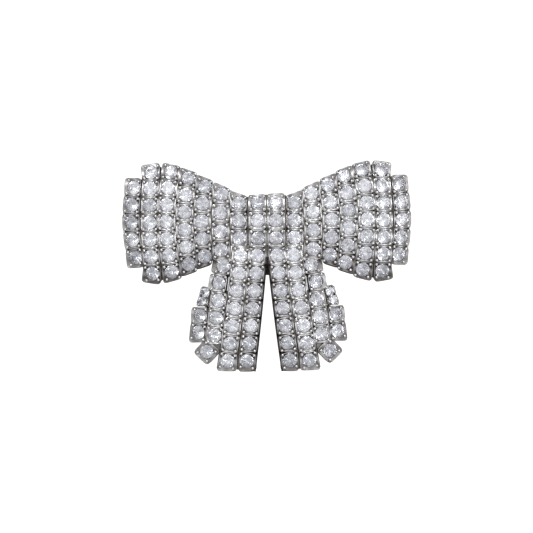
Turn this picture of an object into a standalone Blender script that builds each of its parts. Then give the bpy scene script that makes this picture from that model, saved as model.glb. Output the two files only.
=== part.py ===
"""Bow brooch: five hollow-backed castings, rows of round crystals and a locking pin back.

The brooch stands upright as it is worn: +Z is up, the front faces -Y and +X is the wearer-facing
right. The origin is on the axis of the closed pin stem, midway along the bow. Every length below is
in millimetres and becomes metres when a mesh is made. "Height" is measured from the cloth plane
towards the front, so a point of height h lies at y = CLOTH_Y - h.
"""

from collections import namedtuple
import math

import bmesh
import bpy
from mathutils import Matrix, Vector

MM = 0.001

# Crystals and the cups that hold them
STONE_DIA = 2.4
SMALL_STONE_DIA = 1.5
STONE_SIDES = 8
TABLE_RATIO = 0.58
CROWN_RISE = 0.32
CUP_WIDTH = 3.2
SMALL_CUP_WIDTH = 2.2
CUP_DEPTH = 2.2
ROW_STEP = 0.13
SEAT_DEPTH = 1.2
SEAT_OPENING = 1.0
SEAT_CLEARANCE = 0.05
BED_THICKNESS = 0.4
BED_OVERLAP = 0.2
GENTLE_ROLLOFF = 0.11
GAP = 0.05

# Where the layers lie
CLOTH_Y = -3.0
PLATE_THICKNESS = 0.8
BAR_THICKNESS = 0.7

# Loops: height of the crown, and how far it falls to the outer side and to the knot
LOOP_CROWN = 4.4
LOOP_CROWN_X = 14.5
LOOP_OUTER_FALL = 1.7
LOOP_OUTER_SPAN = 9.0
LOOP_INNER_FALL = 1.1
LOOP_INNER_SPAN = 9.9

# Tails: height of the crown, its fall to the top, to the bottom and to the outer side
TAIL_CROWN = 3.85
TAIL_CROWN_Z = -14.0
TAIL_TOP_FALL = 0.4
TAIL_TOP_SPAN = 6.5
TAIL_END_FALL = 1.0
TAIL_END_SPAN = 12.0
TAIL_SIDE_FALL = 1.0
TAIL_SIDE_SPAN = 5.4
TAIL_RIDGE_X = 4.2
TAIL_RIDGE_TOP_Z = -7.5
TAIL_RIDGE_SLOPE = 0.15

# Knot: a short barrel across the middle
KNOT_WIDTH = 6.3
KNOT_TOP_Z = 3.12
KNOT_BOTTOM_Z = -6.02
KNOT_CROWN = 5.25
KNOT_FALL = 0.95
KNOT_WALL = 0.9
KNOT_ROW_X = 1.56
KNOT_FACETS = 10

# Backing plate and pin bar
PLATE_WIDTH = 11.6
PLATE_TOP_Z = 2.3
PLATE_BOTTOM_Z = -10.9
BAR_LENGTH = 36.0
BAR_HEIGHT = 4.4
POST_X = 13.4
POST_DIA = 2.6

# Pin stem, hinge and catch
HINGE_X = -14.6
EYE_DIA = 2.0
EYE_THICKNESS = 0.9
EYE_BORE = 0.84
RIVET_DIA = 0.7
RIVET_HEAD_DIA = 1.25
RIVET_HEAD = 0.28
EAR_THICKNESS = 0.5
EAR_BORE = 0.76
EAR_WIDTH = 2.2
BRACKET_BASE = 0.5
BRACKET_LENGTH = 3.4
STEM_DIA = 0.9
STEM_TIP_DIA = 0.12
STEM_TIP_X = 16.4
STEM_TAPER = 6.0
CATCH_X = 13.6
HOUSING_DIA = 3.7
HOUSING_BORE = 2.3
HOUSING_LENGTH = 2.0
HOUSING_FOOT = 2.4
SLOT_WIDTH = 1.2
ROTOR_DIA = 2.16
ROTOR_BORE = 1.3
ROTOR_COLLAR_DIA = 3.0
ROTOR_COLLAR = 0.5
TAB_LENGTH = 2.4
TAB_WIDTH = 1.1
ROUND_SEGMENTS = 24

# Colours, as linear RGB
RHODIUM = (0.42, 0.41, 0.41)
BRIGHT = (0.62, 0.62, 0.63)
CRYSTAL = (0.78, 0.78, 0.84)

# One straight or gently bowed row of cups. Ends are the (x, z) of the first and last crystal; bow is
# the sideways swell at mid-length; roll-off is how strongly the row falls away at its top and bottom.
# Steps say how far its rim is set below its neighbours' rims, so that each row keeps its own edge.
Row = namedtuple("Row", "name count top bottom bow rolloff width stone top_edge bottom_edge steps")


def row(name, count, top, bottom, bow=0.0, rolloff=(0.0, 0.0), width=CUP_WIDTH, stone=STONE_DIA,
        top_edge=1.5, bottom_edge=1.5, steps=0):
    return Row(name, count, top, bottom, bow, rolloff, width, stone, top_edge, bottom_edge, steps)


LOOP_ROWS = (
    row("stones_1", 5, (22.95, 4.55), (22.8, -7.55), 0.6, (0.08, 0.06)),
    row("stones_2", 7, (19.9, 7.15), (19.9, -10.4), 0.35, (0.20, 0.11), top_edge=1.7, steps=1),
    row("stones_3", 7, (16.5, 7.15), (16.5, -10.15), 0.85, (0.17, 0.11), top_edge=1.65),
    row("stones_4", 6, (13.45, 6.05), (13.5, -8.85), 0.7, (0.12, 0.08), steps=1),
    row("stones_5", 5, (10.6, 4.55), (10.8, -7.5), 0.5, (0.10, 0.06)),
    row("stones_6", 4, (7.75, 3.15), (7.95, -6.45), 0.15, (0.04, 0.02), width=3.45, bottom_edge=1.3,
        steps=1),
    row("stones_7", 3, (4.76, 1.6), (4.76, -4.45), 0.0, (0.03, 0.02), width=3.02, bottom_edge=1.4),
)
POST_ROW = LOOP_ROWS[3]
TAIL_ROWS = (
    row("stones_1", 7, (1.71, -7.5), (3.72, -25.7), -0.1, width=2.95, top_edge=1.38,
        bottom_edge=1.6),
    row("stones_2", 7, (4.58, -7.45), (7.1, -25.7), -0.1, width=3.14, top_edge=1.35,
        bottom_edge=1.6, steps=1),
    row("stones_3", 5, (7.62, -9.2), (9.3, -21.2), 0.1, width=2.95, top_edge=1.25),
    row("stones_4", 2, (11.75, -17.75), (12.1, -20.65), top_edge=1.4, steps=1),
    row("small_stones", 2, (10.8, -13.75), (11.4, -15.25), width=SMALL_CUP_WIDTH,
        stone=SMALL_STONE_DIA, top_edge=0.95, bottom_edge=0.95, steps=3),
)
TAIL_END_CUP = (10.7, -24.05)
TAIL_END_TURN = math.radians(-37.0)
KNOT_ROWS = (
    row("knot_stones_left", 3, (-KNOT_ROW_X, 1.6), (-KNOT_ROW_X, -4.5)),
    row("knot_stones_right", 3, (KNOT_ROW_X, 1.6), (KNOT_ROW_X, -4.5)),
)


# ---------------------------------------------------------------------------------------------
# Front surfaces: height over the cloth plane as a function of x and z
# ---------------------------------------------------------------------------------------------

def loop_height(x, z, spec):
    if x > LOOP_CROWN_X:
        across = LOOP_CROWN - LOOP_OUTER_FALL * ((x - LOOP_CROWN_X) / LOOP_OUTER_SPAN) ** 2
    else:
        across = LOOP_CROWN - LOOP_INNER_FALL * ((LOOP_CROWN_X - x) / LOOP_INNER_SPAN) ** 2
    half = (spec.top[1] - spec.bottom[1]) / 2 + CUP_WIDTH / 2
    along = (z - (spec.top[1] + spec.bottom[1]) / 2) / half
    steepness = spec.rolloff[0] if along > 0 else spec.rolloff[1]
    return across - steepness * half * along ** 4


def tail_height(x, z, spec):
    if z > TAIL_CROWN_Z:
        along = TAIL_TOP_FALL * ((z - TAIL_CROWN_Z) / TAIL_TOP_SPAN) ** 2
    else:
        along = TAIL_END_FALL * ((z - TAIL_CROWN_Z) / TAIL_END_SPAN) ** 2
    ridge = TAIL_RIDGE_X + TAIL_RIDGE_SLOPE * (TAIL_RIDGE_TOP_Z - z)
    side = max(0.0, x - ridge) / TAIL_SIDE_SPAN
    return TAIL_CROWN - along - TAIL_SIDE_FALL * side ** 2


def knot_height(x, z, spec):
    middle = (KNOT_TOP_Z + KNOT_BOTTOM_Z) / 2
    half = (KNOT_TOP_Z - KNOT_BOTTOM_Z) / 2
    return KNOT_CROWN - KNOT_FALL * ((z - middle) / half) ** 2


# ---------------------------------------------------------------------------------------------
# Rows: a spine on the front surface, with a frame of side, down and outward directions
# ---------------------------------------------------------------------------------------------

class Spine:
    """The centre line of a row on its front surface, measured by arc length from the first stone."""

    SAMPLES = 120
    OVERRUN = 0.6
    STEP = 0.01

    def __init__(self, spec, height):
        self.spec = spec
        self.height = height
        self.length = self.run(1.0)

    def point(self, u):
        spec = self.spec
        x = spec.top[0] + (spec.bottom[0] - spec.top[0]) * u + spec.bow * 4 * u * (1 - u)
        z = spec.top[1] + (spec.bottom[1] - spec.top[1]) * u
        return Vector((x, CLOTH_Y - self.height(x, z, spec), z))

    def run(self, u):
        """Arc length from the first stone to parameter u, negative above it."""
        steps = max(1, int(abs(u) * self.SAMPLES))
        points = [self.point(u * i / steps) for i in range(steps + 1)]
        total = sum((b - a).length for a, b in zip(points, points[1:]))
        return math.copysign(total, u)

    def parameter(self, distance):
        low, high = -self.OVERRUN, 1 + self.OVERRUN
        for _ in range(30):
            middle = (low + high) / 2
            if self.run(middle) < distance:
                low = middle
            else:
                high = middle
        return (low + high) / 2

    def frame(self, distance):
        """Matrix whose X runs across the row, Y runs down it and Z points out of the front."""
        u = self.parameter(distance)
        here = self.point(u)
        down = (self.point(u + self.STEP) - self.point(u - self.STEP)).normalized()
        left = self.height(here.x - self.STEP, here.z, self.spec)
        right = self.height(here.x + self.STEP, here.z, self.spec)
        side = Vector((2 * self.STEP, left - right, 0.0))
        side = (side - down * side.dot(down)).normalized()
        out = down.cross(side)
        matrix = Matrix((side, down, out)).transposed().to_4x4()
        matrix.translation = here
        return matrix

    def stone_frames(self):
        pitch = self.length / (self.spec.count - 1)
        return [self.frame(i * pitch) for i in range(self.spec.count)]

    def stations(self, top_edge, bottom_edge):
        """Frames along the row, from top_edge above its first stone to bottom_edge below its last.

        There is one to a cup, or two where the row rolls off sharply.
        """
        start = -top_edge
        finish = self.length + bottom_edge
        steps = self.spec.count * (2 if max(self.spec.rolloff) > GENTLE_ROLLOFF else 1)
        return [self.frame(start + (finish - start) * i / steps) for i in range(steps + 1)]


# ---------------------------------------------------------------------------------------------
# Mesh helpers
# ---------------------------------------------------------------------------------------------

def clear_scene():
    for obj in list(bpy.data.objects):
        bpy.data.objects.remove(obj, do_unlink=True)


def make_material(name, colour, roughness, metallic):
    material = bpy.data.materials.new(name)
    material.use_nodes = True
    shader = material.node_tree.nodes["Principled BSDF"]
    shader.inputs["Base Color"].default_value = (*colour, 1.0)
    shader.inputs["Roughness"].default_value = roughness
    shader.inputs["Metallic"].default_value = metallic
    material.diffuse_color = (*colour, 1.0)
    return material


def add_object(name, bm, material=None, parent=None):
    """Turn a bmesh in millimetres into an object in metres, with its faces pointing out."""
    bmesh.ops.recalc_face_normals(bm, faces=bm.faces)
    bmesh.ops.transform(bm, matrix=Matrix.Scale(MM, 4), verts=bm.verts)
    mesh = bpy.data.meshes.new(name)
    bm.to_mesh(mesh)
    bm.free()
    obj = bpy.data.objects.new(name, mesh)
    bpy.context.scene.collection.objects.link(obj)
    if material:
        mesh.materials.append(material)
    if parent:
        obj.parent = parent
        obj.matrix_parent_inverse = parent.matrix_world.inverted()
    return obj


def shade_round(obj, angle=math.radians(35)):
    obj.data.shade_smooth()
    obj.data.set_sharp_from_angle(angle=angle)


def add_boolean(target, cutter, operation, solver="EXACT"):
    cutter.hide_render = True
    cutter.display_type = "WIRE"
    modifier = target.modifiers.new(cutter.name, "BOOLEAN")
    modifier.operation = operation
    modifier.object = cutter
    modifier.solver = solver


def add_bar(bm, frames, width, top, bottom):
    """Sweep a rectangle of the given width, from top to bottom along the frames' outward axis.

    The sides twist a little between frames, so they are split into triangles, which stay flat.
    """
    corners = ((-width / 2, top), (width / 2, top), (width / 2, bottom), (-width / 2, bottom))
    rings = [[bm.verts.new(frame @ Vector((x, 0.0, out))) for x, out in corners] for frame in frames]
    for ring, following in zip(rings, rings[1:]):
        for i in range(4):
            j = (i + 1) % 4
            bm.faces.new((ring[i], ring[j], following[j], following[i]))
    bm.faces.new(rings[0])
    bm.faces.new(rings[-1])
    bmesh.ops.triangulate(bm, faces=bm.faces)


def add_box(bm, low, high):
    centre = Matrix.Translation((Vector(low) + Vector(high)) / 2)
    size = Vector(high) - Vector(low)
    bmesh.ops.create_cube(bm, size=1.0, matrix=centre @ Matrix.Diagonal((*size, 1.0)))


def add_cylinder(bm, diameter, start, end, segments=ROUND_SEGMENTS, end_diameter=None):
    """Closed cylinder or cone between two points."""
    start, end = Vector(start), Vector(end)
    axis = end - start
    turn = axis.to_track_quat("Z", "Y").to_matrix().to_4x4()
    last = diameter if end_diameter is None else end_diameter
    bmesh.ops.create_cone(bm, cap_ends=True, segments=segments, radius1=diameter / 2, radius2=last / 2,
                          depth=axis.length, matrix=Matrix.Translation((start + end) / 2) @ turn)


def add_prism(bm, outline, low, high, axis):
    """Extrude a closed outline along a world axis; its points give the other two coordinates."""
    def place(point, level):
        values = list(point)
        values.insert(axis, level)
        return Vector(values)
    base = [bm.verts.new(place(point, low)) for point in outline]
    far = [bm.verts.new(place(point, high)) for point in outline]
    bm.faces.new(base)
    bm.faces.new(far)
    for i in range(len(outline)):
        j = (i + 1) % len(outline)
        bm.faces.new((base[i], base[j], far[j], far[i]))


def stadium(length, height, arc_steps=8):
    """Outline of a strip with round ends, centred on the origin."""
    radius = height / 2
    points = []
    for sign in (1, -1):
        for i in range(arc_steps + 1):
            angle = math.pi * i / arc_steps - math.pi / 2
            points.append((sign * (length / 2 - radius + radius * math.cos(angle)),
                           sign * radius * math.sin(angle)))
    return points


def height_to_y(height):
    return CLOTH_Y - height


# ---------------------------------------------------------------------------------------------
# Crystals
# ---------------------------------------------------------------------------------------------

def add_stone(bm, frame, diameter):
    """Round crystal: a girdle level with the cup's rim, a bevelled crown and a flat table."""
    radius = diameter / 2
    levels = ((radius, -SEAT_DEPTH + BED_THICKNESS - BED_OVERLAP), (radius * TABLE_RATIO, CROWN_RISE))
    rings = []
    for ring_radius, level in levels:
        ring = []
        for i in range(STONE_SIDES):
            angle = 2 * math.pi * (i + 0.5) / STONE_SIDES
            offset = Vector((ring_radius * math.cos(angle), ring_radius * math.sin(angle), level))
            ring.append(bm.verts.new(frame @ offset))
        rings.append(ring)
    for ring, following in zip(rings, rings[1:]):
        for i in range(STONE_SIDES):
            j = (i + 1) % STONE_SIDES
            bm.faces.new((ring[i], ring[j], following[j], following[i]))
    bm.faces.new(rings[0])
    bm.faces.new(rings[-1])


def make_stone_row(name, stone_frames, bed_frames, diameter, material, root):
    """The crystals of one row, joined by the bed of foil and adhesive they are set in."""
    floor = -SEAT_DEPTH + GAP
    bed = bmesh.new()
    add_bar(bed, bed_frames, diameter - GAP, floor + BED_THICKNESS, floor)
    strip = add_object(name, bed, material, root)
    stones = bmesh.new()
    for frame in stone_frames:
        add_stone(stones, frame, diameter)
    add_boolean(strip, add_object(name + "_crystals", stones), "UNION")
    return strip


# ---------------------------------------------------------------------------------------------
# Castings
# ---------------------------------------------------------------------------------------------

def mirrored(obj, name, root):
    """A left-hand copy of a right-hand piece, with its Booleans' operands mirrored too."""
    flip = Matrix.Scale(-1.0, 4, (1.0, 0.0, 0.0))

    def flipped_copy(source, new_name):
        mesh = source.data.copy()
        mesh.transform(flip)
        mesh.flip_normals()
        copy = bpy.data.objects.new(new_name, mesh)
        bpy.context.scene.collection.objects.link(copy)
        return copy

    twin = flipped_copy(obj, name)
    twin.parent = root
    for modifier in obj.modifiers:
        cutter = flipped_copy(modifier.object, name + "_" + modifier.name)
        add_boolean(twin, cutter, modifier.operation, modifier.solver)
    return twin


def seat_width(spec):
    return spec.stone + 2 * SEAT_CLEARANCE


def seat_frames(spine, clearance=0.0):
    overhang = seat_width(spine.spec) / 2 - clearance
    return spine.stations(overhang, overhang)


def make_cup_casting(name, spines, extra_cups, material, root):
    """Join the rows' bent bars into one body, then sink each row's seat into its front.

    The bars cross at very small angles, where only the MANIFOLD solver keeps every edge clean.
    """
    casting = None
    for index, spine in enumerate(spines):
        step = ROW_STEP * spine.spec.steps
        bm = bmesh.new()
        frames = spine.stations(spine.spec.top_edge, spine.spec.bottom_edge)
        add_bar(bm, frames, spine.spec.width, -step, -CUP_DEPTH - step)
        if casting is None:
            casting = add_object(name, bm, material, root)
        else:
            add_boolean(casting, add_object("%s_row_%d" % (name, index), bm), "UNION", "MANIFOLD")
    for index, (frames, width) in enumerate(extra_cups):
        bm = bmesh.new()
        add_bar(bm, frames, width, ROW_STEP, -CUP_DEPTH + ROW_STEP)
        add_boolean(casting, add_object("%s_cup_%d" % (name, index), bm), "UNION", "MANIFOLD")
    seats = [(seat_frames(spine), seat_width(spine.spec)) for spine in spines]
    seats += [(trimmed(frames, width), STONE_DIA + 2 * SEAT_CLEARANCE) for frames, width in extra_cups]
    for index, (frames, width) in enumerate(seats):
        bm = bmesh.new()
        add_bar(bm, frames, width, SEAT_OPENING, -SEAT_DEPTH)
        add_boolean(casting, add_object("%s_seat_%d" % (name, index), bm), "DIFFERENCE", "MANIFOLD")
    return casting


def trimmed(frames, width):
    """The two end frames of a single square cup, drawn in to the length of its seat."""
    seat = STONE_DIA + 2 * SEAT_CLEARANCE
    inset = (width - seat) / 2
    return [frames[0] @ Matrix.Translation((0, inset, 0)), frames[-1] @ Matrix.Translation((0, -inset, 0))]


def single_cup(frame, width):
    """Start and end frames of one square cup about a stone's frame."""
    return [frame @ Matrix.Translation((0, -width / 2, 0)), frame @ Matrix.Translation((0, width / 2, 0))]


def make_loop(metal, crystal, root):
    spines = [Spine(spec, loop_height) for spec in LOOP_ROWS]
    pieces = [make_cup_casting("right_loop", spines, [], metal, root)]
    for spine in spines:
        pieces.append(make_row_of(spine, "right_loop_" + spine.spec.name, crystal, root))
    return pieces


def make_row_of(spine, name, crystal, root):
    bed_frames = seat_frames(spine, 2 * GAP)
    return make_stone_row(name, spine.stone_frames(), bed_frames, spine.spec.stone, crystal, root)


def make_tail(metal, crystal, root):
    spines = [Spine(spec, tail_height) for spec in TAIL_ROWS]
    outer = next(spine for spine in spines if spine.spec.name == "stones_3")
    x, z = TAIL_END_CUP
    end_frame = outer.frame(outer.length)
    end_frame.translation = Vector((x, height_to_y(tail_height(x, z, outer.spec)), z))
    end_frame = end_frame @ Matrix.Rotation(TAIL_END_TURN, 4, "Z")
    end_cup = single_cup(end_frame, CUP_WIDTH - 0.1)
    pieces = [make_cup_casting("right_tail", spines, [(end_cup, CUP_WIDTH - 0.1)], metal, root)]
    for spine in spines:
        pieces.append(make_row_of(spine, "right_tail_" + spine.spec.name, crystal, root))
    bed = single_cup(end_frame, STONE_DIA - GAP)
    pieces.append(make_stone_row("right_tail_end_stone", [end_frame], bed, STONE_DIA, crystal, root))
    return pieces


def make_knot(metal, crystal, root):
    """Barrel-fronted block with two columns of seats, hollow behind."""
    base = PLATE_THICKNESS + GAP
    outline = [(height_to_y(base), KNOT_BOTTOM_Z), (height_to_y(base), KNOT_TOP_Z)]
    for i in range(KNOT_FACETS + 1):
        z = KNOT_TOP_Z + (KNOT_BOTTOM_Z - KNOT_TOP_Z) * i / KNOT_FACETS
        outline.append((height_to_y(knot_height(0.0, z, None)), z))
    bm = bmesh.new()
    add_prism(bm, outline, -KNOT_WIDTH / 2, KNOT_WIDTH / 2, 0)
    knot = add_object("knot", bm, metal, root)
    for spec in KNOT_ROWS:
        spine = Spine(spec, knot_height)
        seat = bmesh.new()
        add_bar(seat, seat_frames(spine), seat_width(spec), SEAT_OPENING, -SEAT_DEPTH)
        add_boolean(knot, add_object("seat_" + spec.name, seat), "DIFFERENCE")
        make_row_of(spine, spec.name, crystal, root)
    hollow = bmesh.new()
    hollow_front = KNOT_CROWN - KNOT_FALL - CUP_DEPTH
    add_box(hollow,
            (-KNOT_WIDTH / 2 + KNOT_WALL, height_to_y(hollow_front), KNOT_BOTTOM_Z + KNOT_WALL),
            (KNOT_WIDTH / 2 - KNOT_WALL, height_to_y(0.0), KNOT_TOP_Z - KNOT_WALL))
    add_boolean(knot, add_object("knot_hollow", hollow), "DIFFERENCE")


# ---------------------------------------------------------------------------------------------
# Back: plate, bar and posts
# ---------------------------------------------------------------------------------------------

def make_back(metal, root):
    plate = bmesh.new()
    add_box(plate, (-PLATE_WIDTH / 2, height_to_y(PLATE_THICKNESS), PLATE_BOTTOM_Z),
            (PLATE_WIDTH / 2, height_to_y(0.0), PLATE_TOP_Z))
    corners = [e for e in plate.edges if abs((e.verts[0].co - e.verts[1].co).y) > PLATE_THICKNESS / 2]
    bmesh.ops.bevel(plate, geom=corners, offset=1.2, segments=4, affect="EDGES", clamp_overlap=True)
    add_object("backing_plate", plate, metal, root)

    bar = bmesh.new()
    add_prism(bar, stadium(BAR_LENGTH, BAR_HEIGHT), height_to_y(-GAP), bar_back_y(), 1)
    add_object("pin_bar", bar, metal, root)

    for name, side in (("left_post", -1), ("right_post", 1)):
        post = bmesh.new()
        front = loop_height(POST_X, 0.0, POST_ROW) - CUP_DEPTH - POST_ROW.steps * ROW_STEP - 2 * GAP
        add_cylinder(post, POST_DIA, (side * POST_X, height_to_y(0.0), 0.0),
                     (side * POST_X, height_to_y(front), 0.0))
        shade_round(add_object(name, post, metal, root))


def bar_back_y():
    return CLOTH_Y + GAP + BAR_THICKNESS


# ---------------------------------------------------------------------------------------------
# Hinge and pin stem
# ---------------------------------------------------------------------------------------------

def ear_outer():
    return EYE_THICKNESS / 2 + GAP + EAR_THICKNESS


def make_hinge(metal, root):
    base_y = bar_back_y() + GAP
    ear_top = EAR_WIDTH / 2
    bracket = bmesh.new()
    add_box(bracket, (HINGE_X - BRACKET_LENGTH / 2, base_y, -ear_outer()),
            (HINGE_X + BRACKET_LENGTH / 2, base_y + BRACKET_BASE, ear_outer()))
    bracket = add_object("hinge_bracket", bracket, metal, root)
    for name, side in (("lower_ear", -1), ("upper_ear", 1)):
        inner, outer = sorted((side * (ear_outer() - EAR_THICKNESS), side * ear_outer()))
        arc = [(HINGE_X + ear_top * math.cos(math.pi * i / 12), ear_top * math.sin(math.pi * i / 12))
               for i in range(13)]
        outline = arc + [(HINGE_X - ear_top, base_y + BRACKET_BASE / 2),
                         (HINGE_X + ear_top, base_y + BRACKET_BASE / 2)]
        ear = bmesh.new()
        add_prism(ear, outline, inner, outer, 2)
        add_boolean(bracket, add_object(name, ear), "UNION")
    bore = bmesh.new()
    add_cylinder(bore, EAR_BORE, (HINGE_X, 0, -ear_outer() - 1), (HINGE_X, 0, ear_outer() + 1))
    add_boolean(bracket, add_object("ear_bore", bore), "DIFFERENCE")
    shade_round(bracket)

    head_in = ear_outer() + GAP
    head_out = head_in + RIVET_HEAD
    profile = [(0, head_out), (RIVET_HEAD_DIA / 2, head_out), (RIVET_HEAD_DIA / 2, head_in),
               (RIVET_DIA / 2, head_in), (RIVET_DIA / 2, -head_in), (RIVET_HEAD_DIA / 2, -head_in),
               (RIVET_HEAD_DIA / 2, -head_out), (0, -head_out)]
    rivet = turned_solid(profile, Matrix.Translation((HINGE_X, 0, 0)))
    shade_round(add_object("hinge_rivet", rivet, metal, root))


def turned_solid(profile, place, segments=ROUND_SEGMENTS):
    """Solid of revolution about local Z; the profile's (radius, level) runs top to bottom."""
    bm = bmesh.new()
    rings = []
    for radius, level in profile:
        if radius == 0:
            rings.append([bm.verts.new(place @ Vector((0, 0, level)))])
            continue
        ring = []
        for i in range(segments):
            angle = 2 * math.pi * i / segments
            offset = Vector((radius * math.cos(angle), radius * math.sin(angle), level))
            ring.append(bm.verts.new(place @ offset))
        rings.append(ring)
    for ring, following in zip(rings, rings[1:]):
        for i in range(segments):
            j = (i + 1) % segments
            corners = [ring[i % len(ring)], ring[j % len(ring)], following[j % len(following)],
                       following[i % len(following)]]
            bm.faces.new(list(dict.fromkeys(corners)))
    return bm


def make_pin_stem(metal, hinge):
    """Needle with a flat eye that turns on the rivet."""
    radius = STEM_DIA / 2
    eye = bmesh.new()
    add_cylinder(eye, EYE_DIA, (HINGE_X, 0, -EYE_THICKNESS / 2), (HINGE_X, 0, EYE_THICKNESS / 2))
    stem = add_object("pin_stem", eye, metal, hinge)
    length = STEM_TIP_X - HINGE_X
    root_level = EYE_DIA / 4
    profile = [(0, length), (STEM_TIP_DIA / 2, length), (radius * 0.62, length - STEM_TAPER * 0.45),
               (radius, length - STEM_TAPER), (radius, root_level), (0, root_level)]
    along_x = Matrix.Translation((HINGE_X, 0, 0)) @ Matrix.Rotation(math.pi / 2, 4, "Y")
    needle = turned_solid(profile, along_x, segments=14)
    add_boolean(stem, add_object("needle", needle), "UNION")
    bore = bmesh.new()
    add_cylinder(bore, EYE_BORE, (HINGE_X, 0, -EYE_THICKNESS), (HINGE_X, 0, EYE_THICKNESS))
    add_boolean(stem, add_object("eye_bore", bore), "DIFFERENCE")
    shade_round(stem)


# ---------------------------------------------------------------------------------------------
# Catch: an open housing, and a slotted rotor that locks the stem in
# ---------------------------------------------------------------------------------------------

def make_catch_housing(metal, root):
    half = HOUSING_LENGTH / 2
    shell = bmesh.new()
    add_cylinder(shell, HOUSING_DIA, (CATCH_X - half, 0, 0), (CATCH_X + half, 0, 0))
    housing = add_object("catch_housing", shell, metal, root)
    foot = bmesh.new()
    add_box(foot, (CATCH_X - half, bar_back_y() + GAP, -HOUSING_FOOT / 2),
            (CATCH_X + half, -HOUSING_BORE / 2 - 0.2, HOUSING_FOOT / 2))
    add_boolean(housing, add_object("housing_foot", foot), "UNION")
    bore = bmesh.new()
    add_cylinder(bore, HOUSING_BORE, (CATCH_X - half - 1, 0, 0), (CATCH_X + half + 1, 0, 0))
    add_boolean(housing, add_object("housing_bore", bore), "DIFFERENCE")
    mouth = bmesh.new()
    add_box(mouth, (CATCH_X - half - 1, 0, -SLOT_WIDTH / 2), (CATCH_X + half + 1, HOUSING_DIA, SLOT_WIDTH / 2))
    add_boolean(housing, add_object("housing_mouth", mouth), "DIFFERENCE")
    shade_round(housing)


def make_catch_rotor(metal, rotor_axis):
    """Sleeve with a collar at each end, a slot along it and a thumb tab on the outer collar."""
    near = HOUSING_LENGTH / 2 + GAP
    far = near + ROTOR_COLLAR
    profile = [(0, far), (ROTOR_COLLAR_DIA / 2, far), (ROTOR_COLLAR_DIA / 2, near), (ROTOR_DIA / 2, near),
               (ROTOR_DIA / 2, -near), (ROTOR_COLLAR_DIA / 2, -near), (ROTOR_COLLAR_DIA / 2, -far),
               (0, -far)]
    along_x = Matrix.Translation((CATCH_X, 0, 0)) @ Matrix.Rotation(math.pi / 2, 4, "Y")
    rotor = add_object("catch_rotor", turned_solid(profile, along_x), metal, rotor_axis)
    tab = bmesh.new()
    add_box(tab, (CATCH_X + near + GAP, -TAB_WIDTH / 2, ROTOR_COLLAR_DIA / 2 - 0.4),
            (CATCH_X + far - GAP, TAB_WIDTH / 2, ROTOR_COLLAR_DIA / 2 + TAB_LENGTH))
    add_boolean(rotor, add_object("thumb_tab", tab), "UNION")
    bore = bmesh.new()
    add_cylinder(bore, ROTOR_BORE, (CATCH_X - far - 1, 0, 0), (CATCH_X + far + 1, 0, 0))
    add_boolean(rotor, add_object("rotor_bore", bore), "DIFFERENCE")
    slot = bmesh.new()
    add_box(slot, (CATCH_X - far - 1, 0, -SLOT_WIDTH / 2), (CATCH_X + far + 1, HOUSING_DIA, SLOT_WIDTH / 2))
    add_boolean(rotor, add_object("rotor_slot", slot), "DIFFERENCE")
    shade_round(rotor)


def add_axis(name, location, root):
    empty = bpy.data.objects.new(name, None)
    empty.location = Vector(location) * MM
    bpy.context.scene.collection.objects.link(empty)
    empty.parent = root
    bpy.context.view_layer.update()
    return empty


def main():
    clear_scene()
    metal = make_material("antique_rhodium", RHODIUM, 0.34, 1.0)
    bright = make_material("bright_rhodium", BRIGHT, 0.22, 1.0)
    crystal = make_material("crystal", CRYSTAL, 0.08, 0.0)
    root = bpy.data.objects.new("brooch", None)
    bpy.context.scene.collection.objects.link(root)

    for piece in make_loop(metal, crystal, root) + make_tail(metal, crystal, root):
        mirrored(piece, piece.name.replace("right_", "left_"), root)
    make_knot(metal, crystal, root)
    make_back(bright, root)
    make_hinge(bright, root)
    make_pin_stem(bright, add_axis("hinge_axis", (HINGE_X, 0, 0), root))
    make_catch_housing(bright, root)
    make_catch_rotor(bright, add_axis("rotor_axis", (CATCH_X, 0, 0), root))


main()
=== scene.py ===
"""Looks of the bow brooch: cast cups with claw beads, foil-backed crystals and the pin back.

Lengths below are in millimetres, in the CAD frame: +Z up, the front faces -Y, origin on the pin stem.
"Height" is measured from the cloth plane towards the front, as in the CAD model. The value carried on the
metal, patina and painted shade together, is how dark a point is: oxide in its hollows, plus painted shade
on cups and sides that turn from the light and in the slot between the tails, and painted highlight where
the oxide is left off outer walls that catch the light. 0 is polished, 1 is oxidised and DEEPEST is black.
"""
from collections import namedtuple
import math
import random

import bmesh
import bpy
from mathutils import Matrix, Vector


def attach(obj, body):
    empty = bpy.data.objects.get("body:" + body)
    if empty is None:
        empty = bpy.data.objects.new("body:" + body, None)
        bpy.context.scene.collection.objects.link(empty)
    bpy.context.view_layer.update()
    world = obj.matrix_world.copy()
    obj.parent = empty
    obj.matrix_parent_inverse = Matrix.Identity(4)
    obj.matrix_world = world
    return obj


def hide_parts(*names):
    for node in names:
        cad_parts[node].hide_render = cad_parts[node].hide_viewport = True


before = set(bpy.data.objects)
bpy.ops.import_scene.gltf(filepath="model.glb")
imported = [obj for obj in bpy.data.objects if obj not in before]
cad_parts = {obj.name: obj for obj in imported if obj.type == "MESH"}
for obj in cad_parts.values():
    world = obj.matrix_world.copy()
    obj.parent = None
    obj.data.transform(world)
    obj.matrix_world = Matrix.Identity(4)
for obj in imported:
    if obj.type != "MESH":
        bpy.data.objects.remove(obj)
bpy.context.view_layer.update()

MM = 0.001
SEED = 41

# ------------------------------------------------------------------ dimensions, as in the CAD model

STONE_DIA = 2.4
SMALL_STONE_DIA = 1.5
CUP_WIDTH = 3.2
CUP_DEPTH = 2.2
CLOTH_Y = -3.0
PLATE_THICKNESS = 0.8

LOOP_CROWN = 4.4
LOOP_CROWN_X = 14.5
LOOP_OUTER_FALL = 1.7
LOOP_OUTER_SPAN = 9.0
LOOP_INNER_FALL = 1.1
LOOP_INNER_SPAN = 9.9

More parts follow.
